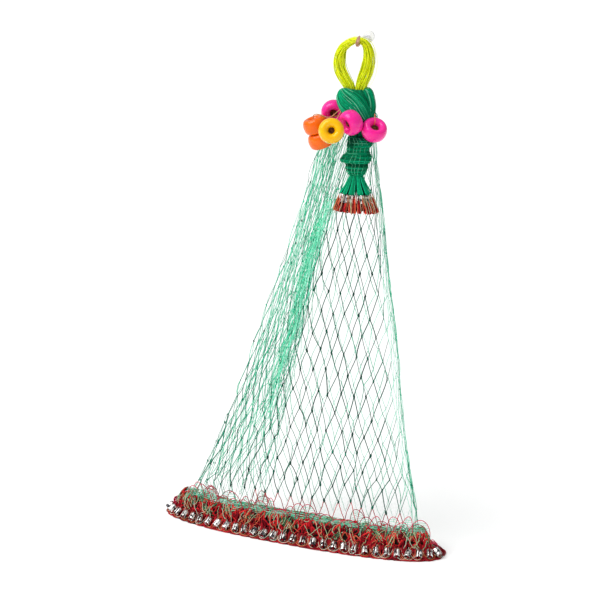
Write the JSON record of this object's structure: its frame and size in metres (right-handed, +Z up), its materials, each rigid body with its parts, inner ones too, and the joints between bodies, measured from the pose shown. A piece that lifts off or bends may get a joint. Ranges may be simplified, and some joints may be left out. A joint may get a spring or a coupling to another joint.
{
  "type": "fishing net on a wall hook",
  "caption": "Throw net hung by its hand line on a wall hook: knotted crown with ring floats, gathered tail, flat netting tent and a weighted cord foot on the floor.",
  "frame": {"origin": "middle of the hook's wall face, where it lies on the wall", "axes": "+X along the foot to the right, +Y into the wall, +Z up; the wall is y = 0 and the floor z = -0.780"},
  "size_m": [0.4813, 0.132, 0.789],
  "materials": {
    "lime_hand_line": "clear lime monofilament line",
    "green_netting": "green nylon netting twine",
    "red_cord": "deep red nylon cord",
    "sinker_metal": "bright rolled sheet metal",
    "tan_twine": "thin tan twine",
    "hook_metal": "copper-coloured wire",
    "magenta_float": "glossy magenta",
    "yellow_float": "glossy golden yellow",
    "orange_float": "glossy orange"
  },
  "bodies": {
    "root": {"wall_hook": "hook_metal", "hand_line_hank": "lime_hand_line", "crown_knot": "green_netting", "tail_netting": "green_netting", "tail_lead_line": "red_cord", "net": "green_netting", "foot_lead_line": "red_cord", "foot_netting": "green_netting", "float_magenta_rear": "magenta_float", "float_magenta_centre": "magenta_float", "float_magenta_right": "magenta_float", "float_yellow": "yellow_float", "float_orange_upper": "orange_float", "float_orange_lower": "orange_float", "twine_rear": "tan_twine", "twine_yellow": "tan_twine", "twine_centre": "tan_twine", "twine_right": "tan_twine", "twine_orange": "tan_twine", "sinker_01": "sinker_metal", "sinker_02": "sinker_metal", "sinker_03": "sinker_metal", "sinker_04": "sinker_metal", "sinker_05": "sinker_metal", "sinker_06": "sinker_metal", "sinker_07": "sinker_metal", "sinker_08": "sinker_metal", "sinker_09": "sinker_metal", "sinker_10": "sinker_metal", "sinker_11": "sinker_metal", "sinker_12": "sinker_metal", "sinker_13": "sinker_metal", "sinker_14": "sinker_metal", "sinker_15": "sinker_metal", "sinker_16": "sinker_metal", "sinker_17": "sinker_metal", "sinker_18": "sinker_metal", "sinker_19": "sinker_metal", "sinker_20": "sinker_metal", "sinker_21": "sinker_metal", "sinker_22": "sinker_metal", "sinker_23": "sinker_metal", "sinker_24": "sinker_metal", "sinker_25": "sinker_metal", "sinker_26": "sinker_metal", "sinker_27": "sinker_metal", "sinker_28": "sinker_metal", "sinker_29": "sinker_metal", "sinker_30": "sinker_metal", "tail_sinker_01": "sinker_metal", "tail_sinker_02": "sinker_metal", "tail_sinker_03": "sinker_metal", "tail_sinker_04": "sinker_metal", "tail_sinker_05": "sinker_metal", "tail_sinker_06": "sinker_metal", "tail_sinker_07": "sinker_metal", "tail_sinker_08": "sinker_metal", "tail_sinker_09": "sinker_metal"}
  },
  "joints": []
}
